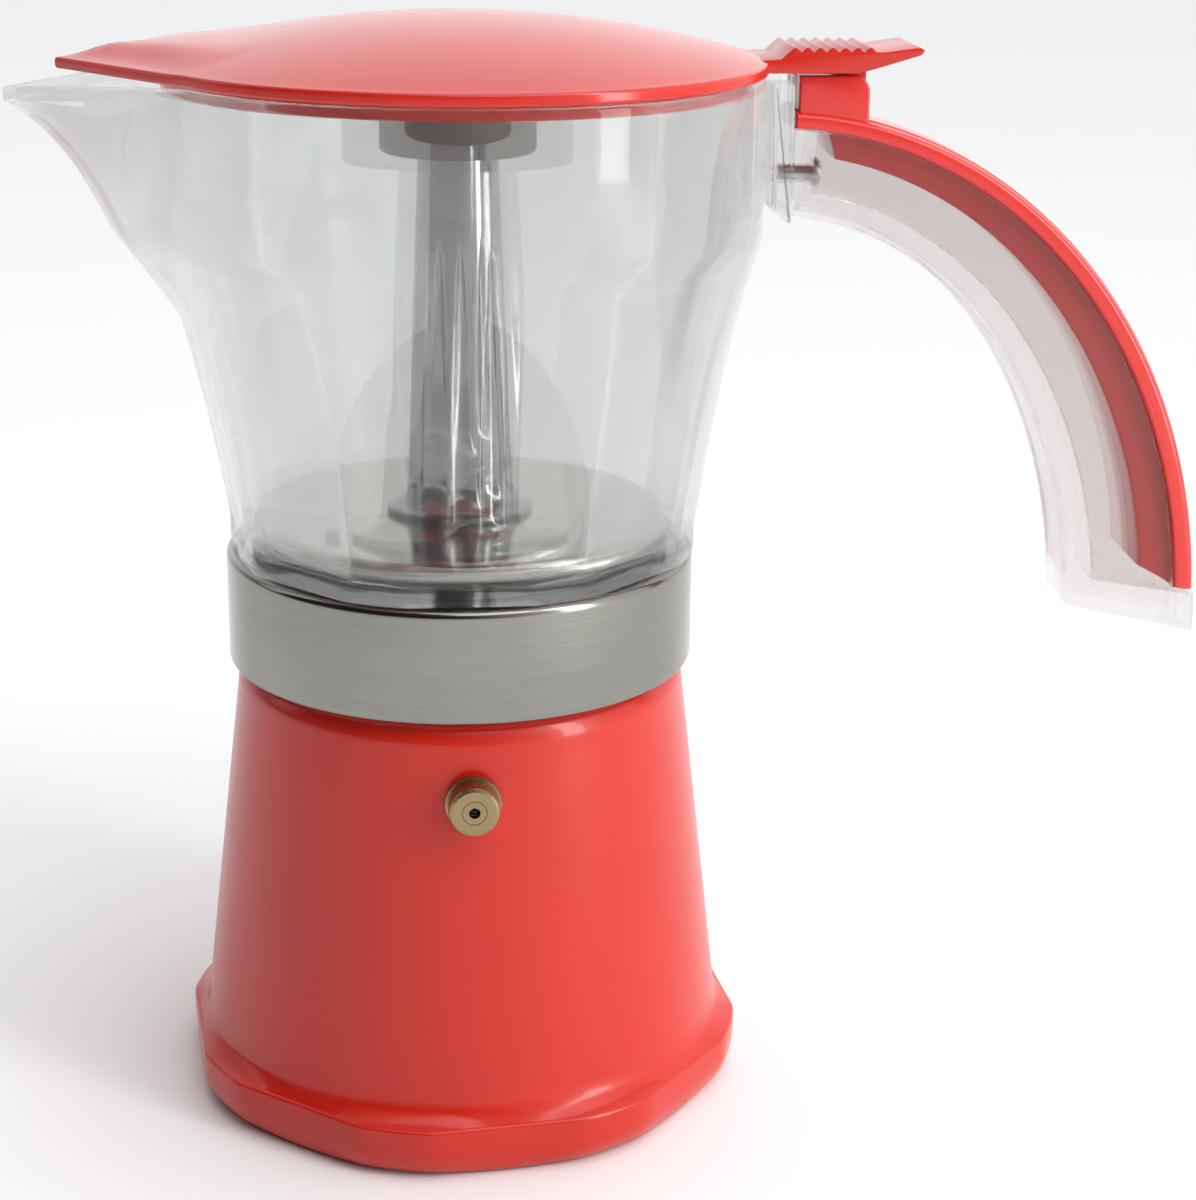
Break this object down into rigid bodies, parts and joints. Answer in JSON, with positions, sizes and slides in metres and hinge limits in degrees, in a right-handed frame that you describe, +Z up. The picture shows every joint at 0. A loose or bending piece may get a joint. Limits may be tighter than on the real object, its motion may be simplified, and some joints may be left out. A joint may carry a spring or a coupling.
{
  "type": "moka pot",
  "caption": "Stovetop coffee maker: red conical boiler on a faceted foot, steel band, clear jug round a fluted column, hinged red lid with thumb tab and arched handle.",
  "frame": {"origin": "centre of the boiler's flat underside, on the surface it stands on", "axes": "+Z up, +X towards the handle, -X towards the spout, -Y the front with the safety valve"},
  "size_m": [0.219, 0.1098, 0.2009],
  "materials": {
    "boiler_paint": "glossy red enamel",
    "lid_plastic": "glossy red",
    "insert_plastic": "glossy red",
    "clear_jug": "clear moulded plastic, polished",
    "clear_handle": "clear moulded plastic, polished",
    "cap_plastic": "satin grey",
    "band_steel": "brushed round the axis",
    "column_metal": "polished, fluted",
    "plate_metal": "polished",
    "base_metal": "as cast and turned",
    "funnel_metal": "spun satin",
    "valve_brass": "dull bronze tone",
    "fastener_steel": "plain steel",
    "seal_rubber": "off-white silicone",
    "dark_seal": "dark rubber"
  },
  "bodies": {
    "boiler": {"boiler": "boiler_paint", "valve_body": "valve_brass", "valve_spring": "fastener_steel", "valve_retainer": "valve_brass", "valve_washer": "fastener_steel"},
    "poppet": {"valve_poppet": "fastener_steel"},
    "funnel": {"funnel": "funnel_metal", "funnel_strainer": "funnel_metal"},
    "gasket_set": {"gasket": "seal_rubber", "filter_plate": "funnel_metal"},
    "collector": {"thread_base": "base_metal", "band": "band_steel", "lower_seal": "dark_seal", "jug": "clear_jug", "upper_seal": "seal_rubber", "collector_plate": "plate_metal", "column": "column_metal", "handle_channel": "clear_handle", "handle_insert": "insert_plastic", "handle_screw": "fastener_steel", "hinge_pin": "fastener_steel"},
    "lid": {"lid": "lid_plastic", "splash_cap": "cap_plastic", "cap_screw": "fastener_steel"}
  },
  "joints": [
    {"name": "collector_lift", "type": "slide", "parent": "boiler", "child": "gasket_set", "axis": [0, 0, 1], "range_m": [0, 0.18]},
    {"name": "collector_unscrew", "type": "hinge", "parent": "gasket_set", "child": "collector", "pos_m": [0, 0, 0.1], "axis": [0, 0, 1], "range_deg": [0, 900]},
    {"name": "funnel_lift", "type": "slide", "parent": "boiler", "child": "funnel", "axis": [0, 0, 1], "range_m": [0, 0.09]},
    {"name": "lid_hinge", "type": "hinge", "parent": "collector", "child": "lid", "pos_m": [0.0699, 0, 0.188], "axis": [0, 1, 0], "range_deg": [0, 58]},
    {"name": "valve_lift", "type": "slide", "parent": "boiler", "child": "poppet", "axis": [0, -1, 0], "range_m": [0, 0.0008], "stiffness_N_per_m": 1500, "springref_m": -0.001}
  ],
  "couplings": [
    {"joint": "funnel_lift", "follows": "collector_lift", "ratio": 0.5}
  ]
}
